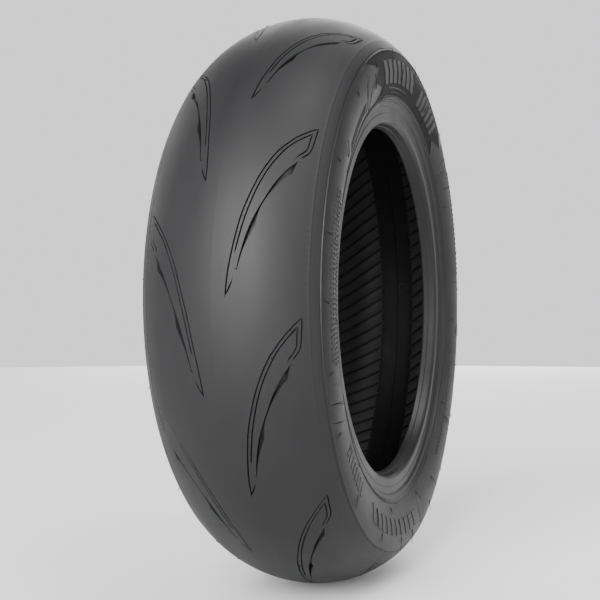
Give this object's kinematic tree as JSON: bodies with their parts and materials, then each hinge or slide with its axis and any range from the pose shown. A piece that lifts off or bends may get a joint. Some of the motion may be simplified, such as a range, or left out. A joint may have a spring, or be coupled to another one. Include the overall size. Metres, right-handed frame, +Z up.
{
  "type": "motorcycle tire",
  "caption": "Loose tubeless scooter tire: rounded tread with curved blade grooves, side walls, two wire beads and an airtight liner.",
  "frame": {"origin": "centre of the tire, on its spin axis, midway between the two side walls", "axes": "+Y along the spin axis towards the left side, +Z up, +X along the ground; the ground is under the tread at -Z"},
  "size_m": [0.4954, 0.146, 0.4954],
  "materials": {
    "tread_rubber": "satin carbon black rubber",
    "base_rubber": "soft uncoated rubber",
    "breaker_cord": "coated nylon cord",
    "body_cord": "coated nylon cord",
    "liner_rubber": "smooth airtight rubber",
    "wall_rubber": "satin carbon black rubber",
    "cushion_rubber": "smooth hard rubber",
    "chafer_cord": "square woven fabric",
    "filler_rubber": "hard rubber",
    "wrap_cord": "rubbered wrap tape",
    "bead_wire": "bronze coated high tensile wire"
  },
  "bodies": {
    "root": {"tread_cap": "tread_rubber", "tread_base": "base_rubber", "breaker_ply_outer": "breaker_cord", "breaker_ply_inner": "breaker_cord", "breaker_edge_strip_left": "base_rubber", "breaker_edge_strip_right": "base_rubber", "body_ply_outer": "body_cord", "body_ply_inner": "body_cord", "inner_liner": "liner_rubber", "sidewall_left": "wall_rubber", "sidewall_right": "wall_rubber", "rim_cushion_left": "cushion_rubber", "rim_cushion_right": "cushion_rubber", "chafer_left": "chafer_cord", "chafer_right": "chafer_cord", "bead_filler_left": "filler_rubber", "bead_filler_right": "filler_rubber", "bead_wrap_left": "wrap_cord", "bead_wrap_right": "wrap_cord", "bead_core_left": "bead_wire", "bead_core_right": "bead_wire"}
  },
  "joints": []
}
